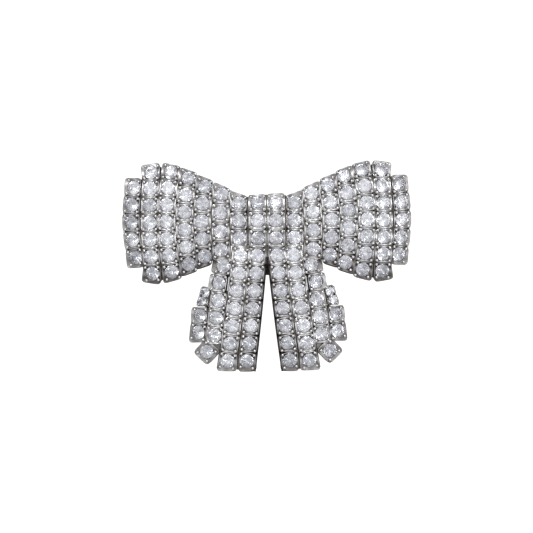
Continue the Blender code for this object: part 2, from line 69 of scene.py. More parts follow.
TAIL_CROWN = 3.85
TAIL_CROWN_Z = -14.0
TAIL_TOP_FALL = 0.4
TAIL_TOP_SPAN = 6.5
TAIL_END_FALL = 1.0
TAIL_END_SPAN = 12.0
TAIL_SIDE_FALL = 1.0
TAIL_SIDE_SPAN = 5.4
TAIL_RIDGE_X = 4.2
TAIL_RIDGE_TOP_Z = -7.5
TAIL_RIDGE_SLOPE = 0.15

KNOT_WIDTH = 6.3
KNOT_TOP_Z = 3.12
KNOT_BOTTOM_Z = -6.02
KNOT_CROWN = 5.25
KNOT_FALL = 0.95
KNOT_ROW_X = 1.56

# ------------------------------------------------------------------ rows of cups

# A row of cups of the right-hand side, from the top down. top and bottom are the (x, z) of its first and
# last stone, bow is its sideways swell at mid-length, and rolloff is how strongly its two ends fall away.
# left and right are how far the side walls stand from the stone's centre, at the first, the middle and
# the last cup. first and last place the far wall of the row's two end cups: the inner corner and then the
# outer corner, each as its distance across and its distance up or down, seen from the front.
# bright names the sides on the outline lightened as painted highlight, as they catch the light, and dark
# those that slope out and are darkened as painted shade. The field after dark is painted shade, as extra
# darkness, on the first cup, on those between and on the last. jog is the index of a cup that stands out
# of line, and how far across it stands.
Row = namedtuple("Row", "name count top bottom bow rolloff stone left right first last bright dark "
                        "tone jog")
STRAIGHT_WALL = (1.5, 1.5, 1.5)
SQUARE_END = ((1.5, 1.5), (1.5, 1.5))


def row(name, count, top, bottom, bow=0.0, rolloff=(0.0, 0.0), stone=STONE_DIA, left=STRAIGHT_WALL,
        right=STRAIGHT_WALL, first=SQUARE_END, last=SQUARE_END, bright="", dark="",
        tone=(0.0, 0.0, 0.0), jog=(0, 0.0)):
    return Row(name, count, top, bottom, bow, rolloff, stone, left, right, first, last, bright, dark,
               tone, jog)


LOOP_ROWS = (
    row("stones_1", 5, (22.95, 4.55), (22.8, -7.55), 0.6, (0.08, 0.06), left=(1.44, 1.58, 1.44),
        right=(1.6, 1.68, 1.6), first=((1.3, 1.66), (1.55, 1.7)), last=((1.3, 1.82), (1.5, 1.9)),
        bright="up right down", tone=(0.22, 0.28, 0.35)),
    row("stones_2", 7, (19.9, 7.15), (19.9, -10.4), 0.35, (0.20, 0.11), left=(1.6, 1.43, 1.6),
        right=(1.46, 1.6, 1.46), first=((1.5, 1.72), (1.9, 1.26)), last=((1.42, 2.0), (1.95, 1.45)),
        bright="up down", tone=(0.12, 0.0, 0.6)),
    row("stones_3", 7, (16.5, 7.15), (16.5, -10.15), 0.85, (0.17, 0.11), left=(1.6, 1.56, 1.6),
        right=(1.6, 1.43, 1.6), first=((1.8, 0.97), (1.42, 1.72)), last=((1.8, 1.2), (1.5, 2.1)),
        bright="up down", tone=(0.3, 0.0, 0.6)),
    row("stones_4", 6, (13.45, 6.05), (13.5, -8.85), 0.7, (0.12, 0.08), left=(1.5, 1.5, 1.48),
        right=(1.58, 1.58, 1.56), first=((1.55, 0.9), (1.45, 2.0)), last=((1.55, 1.3), (1.45, 2.3)),
        bright="up", dark="down", tone=(0.36, 0.04, 0.6)),
    row("stones_5", 5, (10.6, 4.55), (10.8, -7.5), 0.5, (0.10, 0.06), left=(1.52, 1.6, 1.47),
        right=(1.52, 1.43, 1.42), first=((1.45, 1.05), (1.5, 2.2)), last=((1.35, 1.52), (1.45, 2.45)),
        bright="up", dark="down", tone=(0.36, 0.05, 0.65)),
    row("stones_6", 4, (7.75, 3.15), (7.95, -6.45), 0.15, (0.04, 0.02), left=(1.58, 1.6, 1.6),
        right=(1.5, 1.56, 1.47), first=((1.5, 1.0), (1.5, 2.3)), last=((1.75, 1.7), (1.45, 1.8)),
        bright="up", tone=(0.15, 0.03, 0.35)),
    row("stones_7", 3, (4.76, 1.6), (4.76, -4.45), 0.0, (0.03, 0.02), left=(1.5, 1.5, 1.5),
        right=(1.46, 1.6, 1.6), first=((1.55, 1.2), (1.68, 2.3)), last=((1.5, 1.42), (1.46, 1.42)),
        bright="up", tone=(0.1, 0.03, 0.05)),
)
TAIL_ROWS = (
    row("stones_1", 7, (1.71, -7.5), (3.72, -25.7), -0.1, left=(1.62, 1.62, 1.62),
        right=(1.45, 1.5, 1.55), first=((1.68, 1.6), (1.5, 1.6)), last=((1.62, 1.88), (1.55, 1.9)),
        bright="down", dark="left", tone=(0.04, 0.32, 0.5)),
    row("stones_2", 7, (4.58, -7.45), (7.1, -25.7), -0.1, left=(1.45, 1.5, 1.55),
        right=(1.45, 1.45, 1.5), first=((1.5, 1.6), (1.5, 1.6)), last=((1.6, 1.82), (1.95, 1.72)),
        bright="down", tone=(0.0, 0.05, 0.35)),
    row("stones_3", 5, (7.62, -9.2), (9.3, -21.2), 0.1, left=(1.4, 1.4, 1.42),
        right=(2.0, 1.5, 1.5), first=((1.55, 1.6), (1.75, 1.4)), last=((1.45, 1.5), (1.45, 1.5)),
        bright="right", tone=(0.4, 0.16, 0.12), jog=(1, 0.38)),
    row("stones_4", 2, (11.75, -17.75), (12.1, -20.65), left=(1.4, 1.4, 1.4), right=(1.66, 1.66, 1.68),
        first=((1.3, 1.45), (1.5, 1.45)), last=((1.4, 1.72), (1.72, 1.82)), bright="up right down",
        tone=(0.2, 0.2, 0.4)),
    row("small_stones", 2, (10.8, -13.75), (11.4, -15.25), stone=SMALL_STONE_DIA,
        left=(0.95, 0.95, 0.95), right=(0.95, 0.95, 0.95), first=((1.0, 1.0), (0.75, 0.95)),
        last=((1.0, 0.85), (1.05, 0.95)), bright="up right", tone=(0.12, 0.12, 0.12)),
)
# The last cup of a tail is turned away from its row.
TAIL_END_CUP = (10.7, -24.05)
TAIL_END_TURN = math.radians(-37.0)
TAIL_END_HALF = 1.72
# Painted shade, as extra darkness, on the turned end cup and its stone
END_CUP_PAINTED_SHADE = 0.35
# Strips of metal that close gaps between the cups of a tail. start and finish are (x, z), half is half
# the width, and top is the height of the face from the rims.
Web = namedtuple("Web", "start finish half top patina")
TAIL_WEBS = (
    Web((0.28, -6.2), (0.28, -7.7), 0.24, -0.2, 0.6),
    # Painted shade: the strip at the top of the slot between the tails is near black
    Web((0.16, -7.6), (0.16, -8.9), 0.16, -0.3, 1.45),
    Web((1.6, -8.85), (1.6, -9.15), 1.15, -0.1, 0.35),
    Web((0.35, -5.6), (0.35, -6.35), 0.4, -0.25, 0.55),
    Web((3.2, -5.6), (3.2, -6.5), 0.5, -0.3, 0.55),
    Web((9.2, -21.8), (8.8, -24.2), 1.0, -0.6, 0.8),
    Web((9.9, -12.2), (10.3, -16.2), 0.5, -0.5, 0.6),
    Web((6.62, -11.1), (6.95, -13.5), 0.12, -0.06, 0.15),
)
KNOT_ROWS = (
    row("left", 3, (-KNOT_ROW_X, 1.6), (-KNOT_ROW_X, -4.5), left=(1.6, 1.6, 1.6),
        right=(1.52, 1.52, 1.52), first=((1.6, 1.36), (1.5, 1.56)), last=((1.6, 1.5), (1.5, 1.5)),
        bright="up", tone=(0.1, 0.0, 0.0)),
    row("right", 3, (KNOT_ROW_X, 1.6), (KNOT_ROW_X, -4.5), left=(1.52, 1.52, 1.52),
        right=(1.6, 1.6, 1.6), first=((1.5, 1.58), (1.62, 1.7)), last=((1.5, 1.5), (1.6, 1.5)),
        bright="up", tone=(0.1, 0.0, 0.0)),
)

# ------------------------------------------------------------------ cups, beads and crystals

# Cups: the outline is a superellipse. WALL_DRAFT and RIM_INSET are shares of it, and SLOPE is the share
# by which the rim of a dark side stands in. SIDE_SPREAD is how far the painted highlight of a bright side
# and the painted shade of a dark side reach round corners.
CUP_SIDES = 48
CORNER_POWER = 6.2
SIDE_SPREAD = 1.45
CUP_GAP = 0.06
WALL_DEPTH = 1.9
WALL_DRAFT = 0.95
RIM_ROUND = 0.09
RIM_INSET = 0.955
SLOPE = 0.12
BORE_DEPTH = 1.3
BORE_CLEARANCE = 0.01
LIP = 0.06
CORNER_DIP = 0.16

# Claw beads: the usual place across and along from the stone's centre, the distance from that centre
# that a bead keeps where its corner is cut off, and the least distance from the bead to that corner
BEAD_RADIUS = 0.26
BEAD_LEVEL = 0.03
BEAD_ACROSS = 1.12
BEAD_ALONG = 1.14
BEAD_REACH = 1.42
BEAD_MARGIN = 0.3

# Bars under and beside a row; tops and floors are heights from the rims
BAR_TOP = -1.5
BAR_INSET = 0.12
BAR_OVERLAP = 0.2
BAR_CHAMFER = 0.28
GROOVE_FLOOR = -0.26
GROOVE_HALF = 0.22
LEDGE_TOP = -0.4
LEDGE_HALF = 0.13
EDGE_TOP = -0.12
EDGE_INSET = 0.02
EDGE_LIFT = 0.1
STATIONS_PER_CUP = 3
STEPS_PER_WEB = 4

# The block behind the knot's cups
BLOCK_MARGIN = 0.1
BLOCK_SIDE_MARGIN = 0.08
BLOCK_STEPS = 12
BLOCK_BEVEL = 0.25

# Softening of a CAD node: points closer than WELD are one, and edges sharper than the angle are rounded
WELD = 0.002
FLAT_ANGLE = math.radians(1.0)
SOFTENED_FROM = math.radians(40)

# Patina and painted shade; a bead is polished above the share BEAD_POLISHED_FROM of its radius
DEEPEST = 1.6
# Painted highlight: how much lighter the foot of an outer wall is on a bright side, where it catches the
# light
FOOT_PAINTED_HIGHLIGHT = 0.6
OUTER_EDGE_PATINA = 0.3
HOLLOW_PATINA = 0.8
BEAD_POLISHED_FROM = 0.35
BEAD_FOOT_PATINA = 0.9
BACK_PATINA = 0.35
BAR_PATINA = 0.9
GROOVE_PATINA = 1.05
EDGE_PATINA = 0.5
LIP_PATINA = 0.45
BORE_PATINA = 0.8
BLOCK_PATINA = 0.8
# Oxide and painted shade: the front of the backing plate is near black where it shows in the slot between
# the tails
PLATE_FRONT_OXIDE_AND_SHADE = 1.4
POST_PATINA = 0.45
# How much of the last cup's painted shade the cup above it has
NEIGHBOUR_SHARE = 0.4

# Crystals, as shares of the radius; the girdle is in millimetres
TABLE = 0.55
STAR = 0.80
CROWN = 0.30
PAVILION = 0.925
LOWER_HALF = 0.42
GIRDLE = 0.03
STONE_TILT = math.radians(2.5)
STONE_SINK = 0.1
# How dull the foil is, from 0 to 1: on the whole stone, more at its edge, and more in cups with painted
# shade, which lays painted shade on their stones too
FOIL_AGE = 0.1
FOIL_AGE_SPREAD = 0.06
FOIL_EDGE_AGE = 0.3
PAINTED_SHADE_ON_FOIL = 0.35

# ------------------------------------------------------------------ colours, light and camera

# The metal from polished to black; the darker colours carry both oxide and painted shade
PLATE_POLISHED = (0.78, 0.775, 0.775)
PLATE_OXIDE_AND_SHADE = (0.15, 0.135, 0.13)
PLATE_BLACK = (0.025, 0.022, 0.02)
SATIN_DARK = (0.56, 0.555, 0.55)
SATIN_LIGHT = (0.72, 0.715, 0.705)
GLASS_COOL = (0.93, 0.935, 0.95)
GLASS_CLEAR = (0.985, 0.985, 0.99)
# Foil colours; the dull end also serves as painted shade on the stones of shaded cups
FOIL_NEW = (0.95, 0.952, 0.975)
FOIL_DULL_AND_SHADED = (0.42, 0.427, 0.46)
FLOOR_DARK = (0.86, 0.86, 0.86)
FLOOR_LIGHT = (0.9, 0.9, 0.9)
GLASS_IOR = 1.58

# The room's light falls off round this direction, a little above the camera
LIGHT_AXIS = (0.0, -0.88, 0.47)
# Brightness by the cosine of the angle from that axis, scaled from -1..1 to 0..1
ROOM_LEVELS = ((0.0, 0.2), (0.5, 0.2), (0.71, 0.28), (0.82, 0.45), (0.883, 0.8), (0.94, 1.1))
# The white sweep behind the brooch, by the Y of the direction
SWEEP_START = 0.95
SWEEP_FULL = 0.98
# The two colour inputs of a Mix node that blends colours
MIX_COLOUR_A, MIX_COLOUR_B = 6, 7

CAMERA_DISTANCE = 600.0
PICTURE_WIDTH = 91.9
SENSOR = 36.0
PICTURE_CENTRE = (-0.14, -9.4)
CAMERA_ROLL = math.radians(0.7)
FLOOR_Z = -120.0
FLOOR_RADIUS = 500.0


# ------------------------------------------------------------------ front surfaces, as in the CAD model

def loop_height(x, z, spec):
    if x > LOOP_CROWN_X:
        across = LOOP_CROWN - LOOP_OUTER_FALL * ((x - LOOP_CROWN_X) / LOOP_OUTER_SPAN) ** 2
    else:
        across = LOOP_CROWN - LOOP_INNER_FALL * ((LOOP_CROWN_X - x) / LOOP_INNER_SPAN) ** 2
    half = (spec.top[1] - spec.bottom[1]) / 2 + CUP_WIDTH / 2
    along = (z - (spec.top[1] + spec.bottom[1]) / 2) / half
    steepness = spec.rolloff[0] if along > 0 else spec.rolloff[1]
    return across - steepness * half * along ** 4


def tail_height(x, z, spec):
    if z > TAIL_CROWN_Z:
        along = TAIL_TOP_FALL * ((z - TAIL_CROWN_Z) / TAIL_TOP_SPAN) ** 2
    else:
        along = TAIL_END_FALL * ((z - TAIL_CROWN_Z) / TAIL_END_SPAN) ** 2
    ridge = TAIL_RIDGE_X + TAIL_RIDGE_SLOPE * (TAIL_RIDGE_TOP_Z - z)
    side = max(0.0, x - ridge) / TAIL_SIDE_SPAN
    return TAIL_CROWN - along - TAIL_SIDE_FALL * side ** 2


def knot_height(x, z, spec):
    middle = (KNOT_TOP_Z + KNOT_BOTTOM_Z) / 2
    half = (KNOT_TOP_Z - KNOT_BOTTOM_Z) / 2
    return KNOT_CROWN - KNOT_FALL * ((z - middle) / half) ** 2


class Spine:
    """The centre line of a row on its front surface, measured by arc length from the first stone."""

    SAMPLES = 60
    BISECTIONS = 24
    OVERRUN = 0.6
    STEP = 0.01

    def __init__(self, spec, height):
        self.spec = spec
        self.height = height
        self.length = self.run(1.0)

    def point(self, u):
        """The front surface at parameter u, which is 0 at the first stone and 1 at the last."""
        spec = self.spec
        x = spec.top[0] + (spec.bottom[0] - spec.top[0]) * u + spec.bow * 4 * u * (1 - u)
        z = spec.top[1] + (spec.bottom[1] - spec.top[1]) * u
        return Vector((x, CLOTH_Y - self.height(x, z, spec), z))

    def run(self, u):
        """Arc length from the first stone to parameter u, negative above it."""
        steps = max(1, int(abs(u) * self.SAMPLES))
        points = [self.point(u * i / steps) for i in range(steps + 1)]
        total = sum((b - a).length for a, b in zip(points, points[1:]))
        return math.copysign(total, u)

    def parameter(self, distance):
        """The parameter at this arc length."""
        low, high = -self.OVERRUN, 1 + self.OVERRUN
        for _ in range(self.BISECTIONS):
            middle = (low + high) / 2
            if self.run(middle) < distance:
                low = middle
            else:
                high = middle
        return (low + high) / 2

    def frame(self, distance):
        """Matrix whose X runs across the row, Y runs down it and Z points out of the front."""
        u = self.parameter(distance)
        here = self.point(u)
        down = (self.point(u + self.STEP) - self.point(u - self.STEP)).normalized()
        left = self.height(here.x - self.STEP, here.z, self.spec)
        right = self.height(here.x + self.STEP, here.z, self.spec)
        side = Vector((2 * self.STEP, left - right, 0.0))
        side = (side - down * side.dot(down)).normalized()
        matrix = Matrix((side, down, down.cross(side))).transposed().to_4x4()
        matrix.translation = here
        return matrix

    def pitch(self):
        return self.length / (self.spec.count - 1)

    def stone_frames(self):
        frames = [self.frame(i * self.pitch()) for i in range(self.spec.count)]
        index, across = self.spec.jog
        frames[index] = frames[index] @ Matrix.Translation((across, 0.0, 0.0))
        return frames


# ------------------------------------------------------------------ mesh helpers

def new_metal_mesh():
    """A bmesh whose points carry a value of patina and painted shade."""
    bm = bmesh.new()
    return bm, bm.verts.layers.float.new("patina")


def finish_mesh(bm, name, materials, mirror=False):
    """Turn a bmesh in millimetres into an object in metres, mirrored to the left if asked."""
    scale = Matrix.Diagonal((-MM if mirror else MM, MM, MM, 1.0))
    bmesh.ops.transform(bm, matrix=scale, verts=bm.verts)
    if mirror:
        bmesh.ops.reverse_faces(bm, faces=bm.faces)
    mesh = bpy.data.meshes.new(name)
    bm.to_mesh(mesh)
    bm.free()
    obj = bpy.data.objects.new(name, mesh)
    bpy.context.scene.collection.objects.link(obj)
    for material in materials:
        mesh.materials.append(material)
    return obj


def shade_round(obj, angle=math.radians(38)):
    obj.data.shade_smooth()
    obj.data.set_sharp_from_angle(angle=angle)


def ring_of(bm, layer, place, points, patina):
    """One ring of vertices; the value for them is a number or a list with a number for each point."""
    ring = []
    for index, point in enumerate(points):
        vert = bm.verts.new(place @ Vector(point))
        vert[layer] = patina[index] if isinstance(patina, list) else patina
        ring.append(vert)
    return ring


def bridge(bm, rings):
    """Quads between rings that follow each other."""
    for ring, following in zip(rings, rings[1:]):
        for i in range(len(ring)):
            j = (i + 1) % len(ring)
            bm.faces.new((ring[i], ring[j], following[j], following[i]))


def cap_ends(bm, rings):
    bm.faces.new(list(reversed(rings[0])))
    bm.faces.new(rings[-1])


def bevel_sharp_edges(bm, angle, offset, segments, clamp_overlap=False):
    sharp = [edge for edge in bm.edges if edge.calc_face_angle(0.0) > angle]
    bmesh.ops.bevel(bm, geom=sharp, offset=offset, segments=segments, affect="EDGES", profile=0.5,
                    clamp_overlap=clamp_overlap)


# ------------------------------------------------------------------ castings

def outline_angle(index):
    return 2 * math.pi * (index + 0.5) / CUP_SIDES


def cup_outline(corners):
    """Points round a four-cornered cup with well-rounded corners.

    The corners are top left, top right, bottom left and bottom right, with y down the row.
    """
    top_left, top_right, bottom_left, bottom_right = corners
    points = []
    for i in range(CUP_SIDES):
        angle = outline_angle(i)
        x, y = math.cos(angle), math.sin(angle)
        size = (abs(x) ** CORNER_POWER + abs(y) ** CORNER_POWER) ** (-1 / CORNER_POWER)
        across, along = (1 + x * size) / 2, (1 + y * size) / 2
        top = top_left.lerp(top_right, across)
        bottom = bottom_left.lerp(bottom_right, across)
        points.append(tuple(top.lerp(bottom, along)))
    return points


def share(index, sides):
    """How squarely this point of a cup's outline faces one of these sides, from 0 to 1."""
    angle = outline_angle(index)
    ways = {"right": math.cos(angle), "left": -math.cos(angle), "down": math.sin(angle),
            "up": -math.sin(angle)}
    return min(1.0, SIDE_SPREAD * max([0.0] + [ways[side] for side in sides]))


def cup_levels(corner, bright, dark, tone):
    """The levels of a cup at one point round it: up its wall, over its rim and down its bore.

    corner, bright and dark are from 0 to 1: how near the point is to a corner, and how squarely it
    faces a side lightened as painted highlight or one darkened as painted shade; the last argument is
    painted shade over the whole cup. A level is its place, its depth and its patina and painted shade.
    The place is a share of the outline on the wall and rim, and the distance outside the bore from the lip
    inwards.
    """
    # Painted highlight: a bright side keeps its foot and corners light. Painted shade: a dark side darkens
    # its rim, and the last argument the whole cup.
    foot = 1.0 - FOOT_PAINTED_HIGHLIGHT * bright
    edge = tone + OUTER_EDGE_PATINA * bright
    hollow = HOLLOW_PATINA * corner * (1.0 - bright)
    dip = CORNER_DIP * corner
    wall_and_rim = (
        (WALL_DRAFT, WALL_DEPTH, foot),
        (0.99, 0.6, foot),
        (1.0, RIM_ROUND + 0.25 * dark, edge + 0.08 + 0.12 * foot + 0.6 * dark),
        (0.985 - SLOPE * dark, 0.3 * RIM_ROUND, edge + 0.03 + 0.3 * dark),
        (RIM_INSET - SLOPE * dark, 0.0, edge),
        (0.9 - 0.8 * SLOPE * dark, 0.6 * dip, edge + 0.05 + hollow),
    )
    lip_and_bore = (
        (LIP, dip, edge + 0.08 + hollow),
        (0.0, dip + 0.07, LIP_PATINA),
        (0.0, BORE_DEPTH, BORE_PATINA),
    )
    return wall_and_rim, lip_and_bore


def add_cup(bm, layer, place, corners, stone, bright_sides, dark_sides=(), tone=0.0):
    """A square cup with a rounded rim, a round bore and a claw bead at each corner.

    Bright sides are outer walls lightened as painted highlight, where they catch the light. Dark sides
    slope out from a narrower rim, and are darkened as painted shade.
    """
    bore = stone / 2 + BORE_CLEARANCE
    columns = []
    for i, (x, y) in enumerate(cup_outline(corners)):
        angle = outline_angle(i)
        wall_and_rim, lip_and_bore = cup_levels(math.sin(2 * angle) ** 2, share(i, bright_sides),
                                                share(i, dark_sides), tone)
        column = [((x * scale, y * scale, -depth), patina) for scale, depth, patina in wall_and_rim]
        for outside, depth, patina in lip_and_bore:
            radius = bore + outside
            column.append(((radius * math.cos(angle), radius * math.sin(angle), -depth), patina))
        columns.append(column)
    rings = []
    for level in zip(*columns):
        points, patina = zip(*level)
        rings.append(ring_of(bm, layer, place, points, list(patina)))
    bridge(bm, rings)
    cap_ends(bm, rings)
    size = stone / STONE_DIA
    for corner in corners:
        spot = bead_spot(corner, size)
        add_bead(bm, layer, place @ Matrix.Translation(spot), BEAD_RADIUS * size)


def bead_spot(corner, size):
    """Where a corner's bead sits: at the usual place, or moved in and round where the corner is cut off."""
    y = min(BEAD_ALONG * size, abs(corner.y) - BEAD_MARGIN)
    x = max(BEAD_ACROSS * size, math.sqrt(max(0.0, (BEAD_REACH * size) ** 2 - y * y)))
    x = min(x, abs(corner.x) - BEAD_MARGIN)
    return Vector((math.copysign(x, corner.x), math.copysign(y, corner.y), BEAD_LEVEL))


def add_bead(bm, layer, place, radius):
    """The rounded end of a claw: polished on top, dark where it meets the cup."""
    made = bmesh.ops.create_icosphere(bm, subdivisions=3, radius=radius)
    for vert in made["verts"]:
        below = BEAD_POLISHED_FROM - vert.co.z / radius
        vert[layer] = min(1.0, max(0.0, BEAD_FOOT_PATINA * below))
        vert.co = place @ vert.co


def add_bar(bm, layer, frames, left, right, top, bottom, patina):
    """A strip of metal through these frames, with chamfered long edges; the last argument is the patina and
    painted shade of its front.
    """
    c = min(BAR_CHAMFER, (right - left) / 4, (top - bottom) / 4)
    section = ((left + c, top), (right - c, top), (right, top - c), (right, bottom + c),
               (right - c, bottom), (left + c, bottom), (left, bottom + c), (left, top - c))
    shade = [patina] * 3 + [BACK_PATINA] * 4 + [patina]
    rings = [ring_of(bm, layer, place, [(x, 0.0, out) for x, out in section], shade) for place in frames]
    bridge(bm, rings)
    cap_ends(bm, rings)


def add_row_metal(bm, layer, spine):
    """The cups of a row, the bar that joins them and the strips along its two sides.

    A side that meets another row gets the floor of a groove. On the outline, a dark side gets a ledge
    below its rims, black as painted shade, and a bright one an edge between its cups.
    """
    spec = spine.spec
    frames = bar_frames(spine)
    outer = [name for name in ("left", "right") if name in spec.bright + spec.dark]
    walls = {"left": min(spec.left), "right": min(spec.right)}
    reach = {name: wall - BAR_INSET if name in outer else wall + BAR_OVERLAP
             for name, wall in walls.items()}
    add_bar(bm, layer, frames, -reach["left"], reach["right"], BAR_TOP, -CUP_DEPTH, BAR_PATINA)
    for name, side in (("left", -1), ("right", 1)):
        middle, half = side * walls[name], LEDGE_HALF
        if name not in outer:
            half, top, bottom, patina = GROOVE_HALF, GROOVE_FLOOR, BAR_TOP - BAR_OVERLAP, GROOVE_PATINA
        # Painted shade: the ledge of a dark side is black
        elif name in spec.dark:
            top, bottom, patina = LEDGE_TOP, -CUP_DEPTH, DEEPEST
        else:
            middle -= side * (LEDGE_HALF + EDGE_INSET)
            top, bottom, patina = EDGE_TOP, -CUP_DEPTH + EDGE_LIFT, EDGE_PATINA
        add_bar(bm, layer, frames, middle - half, middle + half, top, bottom, patina)
    add_cups(bm, layer, spine)


def add_web(bm, layer, height, web):
    spine = Spine(row("web", 2, web.start, web.finish), height)
    frames = [spine.frame(spine.length * i / STEPS_PER_WEB) for i in range(STEPS_PER_WEB + 1)]
    add_bar(bm, layer, frames, -web.half, web.half, web.top, -CUP_DEPTH, web.patina)


def bar_frames(spine):
    """Frames along a row, from just inside its first cup's far wall to just inside its last one's."""
    spec = spine.spec
    start = BAR_INSET - min(spec.first[0][1], spec.first[1][1])
    finish = spine.length + min(spec.last[0][1], spec.last[1][1]) - BAR_INSET
    steps = STATIONS_PER_CUP * spec.count
    return [spine.frame(start + (finish - start) * i / steps) for i in range(steps + 1)]


def seen_offset(place, across, up):
    """The offset on the cup's own plane that looks like (across, up) from the front."""
    side, down = place.col[0], place.col[1]
    area = side.x * down.z - down.x * side.z
    return Vector(((across * down.z - up * down.x) / area, (up * side.x - across * side.z) / area))


def cup_corners(spine, index, place):
    """The corners of this cup: square to its neighbours, but shaped to the outline at the row's ends."""
    spec = spine.spec
    half = spine.pitch() / 2 - CUP_GAP / 2
    left, right = wall_at(spec.left, spec, index), wall_at(spec.right, spec, index)
    top = [Vector((-left, -half)), Vector((right, -half))]
    bottom = [Vector((-left, half)), Vector((right, half))]
    if index == 0:
        (inner, low), (outer, high) = spec.first
        top = [seen_offset(place, -inner, low), seen_offset(place, outer, high)]
    if index == spec.count - 1:
        (inner, low), (outer, high) = spec.last
        bottom = [seen_offset(place, -inner, -low), seen_offset(place, outer, -high)]
    return (*top, *bottom)


def sides_at(spec, index, named):
    """Which of the row's named sides this cup has: only end cups have an upper or lower one."""
    return [side for side in named.split()
            if side in ("left", "right") or (side == "up" and index == 0)
            or (side == "down" and index == spec.count - 1)]


def painted_shade_at(spec, index):
    """Painted shade on this cup, as extra darkness; the cup above the last one shares some of the last
    one's.
    """
    first, middle, last = spec.tone
    if index == 0:
        return first
    share_of_last = {spec.count - 1: 1.0, spec.count - 2: NEIGHBOUR_SHARE}.get(index, 0.0)
    return middle + (last - middle) * share_of_last


def wall_at(wall, spec, index):
    """How far this cup's side wall stands from its stone."""
    first, middle, last = wall
    along = 2 * index / (spec.count - 1)
    if along <= 1:
        return first + (middle - first) * along
    return middle + (last - middle) * (along - 1)


def add_cups(bm, layer, spine):
    spec = spine.spec
    for index, place in enumerate(spine.stone_frames()):
        add_cup(bm, layer, place, cup_corners(spine, index, place), spec.stone,
                sides_at(spec, index, spec.bright), sides_at(spec, index, spec.dark),
                painted_shade_at(spec, index))


def recalculated(bm):
    """The same bmesh, once every face points out."""
    bmesh.ops.recalc_face_normals(bm, faces=bm.faces)
    return bm


def make_casting(name, spines, end_cups, webs, metal, mirror):
    bm, layer = new_metal_mesh()
    for spine in spines:
        add_row_metal(bm, layer, spine)
    for web in webs:
        add_web(bm, layer, spines[0].height, web)
    for place in end_cups:
        h = TAIL_END_HALF
        corners = (Vector((-h, -h)), Vector((h, -h)), Vector((-h, h)), Vector((h, h)))
        add_cup(bm, layer, place, corners, STONE_DIA, ["left", "right", "down"], tone=END_CUP_PAINTED_SHADE)
    obj = finish_mesh(recalculated(bm), name, [metal], mirror)
    shade_round(obj)
    return obj


def make_knot(metal):
    """The knot: a bevelled block with a curved front, and its rows of cups."""
    bm, layer = new_metal_mesh()
    top, bottom = KNOT_TOP_Z - BLOCK_MARGIN, KNOT_BOTTOM_Z + BLOCK_MARGIN
    back = CLOTH_Y - PLATE_THICKNESS - BLOCK_MARGIN
    outline = [(back, bottom), (back, top)]
    for i in range(BLOCK_STEPS + 1):
        z = top + (bottom - top) * i / BLOCK_STEPS
        outline.append((CLOTH_Y - knot_height(0.0, z, None) - BAR_TOP, z))
    half = KNOT_WIDTH / 2 - BLOCK_SIDE_MARGIN
    ends = [ring_of(bm, layer, Matrix.Identity(4), [(x, y, z) for y, z in outline], BLOCK_PATINA)
            for x in (-half, half)]
    bridge(bm, ends)
    cap_ends(bm, ends)
    recalculated(bm)
    bevel_sharp_edges(bm, math.radians(30), BLOCK_BEVEL, 3)
    for spec in KNOT_ROWS:
        add_row_metal(bm, layer, Spine(spec, knot_height))
    obj = finish_mesh(recalculated(bm), "knot_casting", [metal])
    shade_round(obj)
    return obj


# ------------------------------------------------------------------ crystals

def add_crystal(bm, layer, place, radius, age_and_shade):
    """A round brilliant with eight main facets. Its pavilion faces carry silver foil, dulled by age and
    darkened as painted shade in shaded cups.
    """
    table_r, star_r, lower_r = TABLE * radius, STAR * radius, LOWER_HALF * radius
    height, depth = CROWN * radius, PAVILION * radius
    half = math.pi / 8
    star_z = height * (radius - star_r * math.cos(half)) / (radius - table_r)
    lower_z = -depth + (depth - GIRDLE) * lower_r * math.cos(half) / radius

    def ring(count, r, z, offset=0.0):
        turns = [2 * math.pi * (i + offset) / count for i in range(count)]
        points = [(r * math.cos(turn), r * math.sin(turn), z) for turn in turns]
        return ring_of(bm, layer, place, points, age_and_shade + FOIL_EDGE_AGE * (r / radius) ** 2)

    table = ring(8, table_r, height + GIRDLE)
    star = ring(8, star_r, star_z + GIRDLE, 0.5)
    upper = ring(16, radius, GIRDLE)
    lower = ring(16, radius, -GIRDLE)
    halves = ring(8, lower_r, lower_z, 0.5)
    culet = ring_of(bm, layer, place, [(0.0, 0.0, -depth)], age_and_shade)[0]
    new_face = bm.faces.new
    new_face(table)
    foil = []
    for k in range(8):
        n = (k + 1) % 8
        new_face((table[k], star[k], table[n]))
        new_face((table[k], star[k - 1], upper[2 * k], star[k]))
        new_face((star[k], upper[2 * k], upper[2 * k + 1]))
        new_face((star[k], upper[2 * k + 1], upper[2 * n]))
        foil += [new_face((culet, halves[k], lower[2 * k], halves[k - 1])),
                 new_face((halves[k], lower[2 * k + 1], lower[2 * k])),
                 new_face((halves[k], lower[2 * n], lower[2 * k + 1]))]
    for i in range(16):
        j = (i + 1) % 16
        new_face((upper[i], lower[i], lower[j], upper[j]))
    for face in foil:
        face.material_index = 1


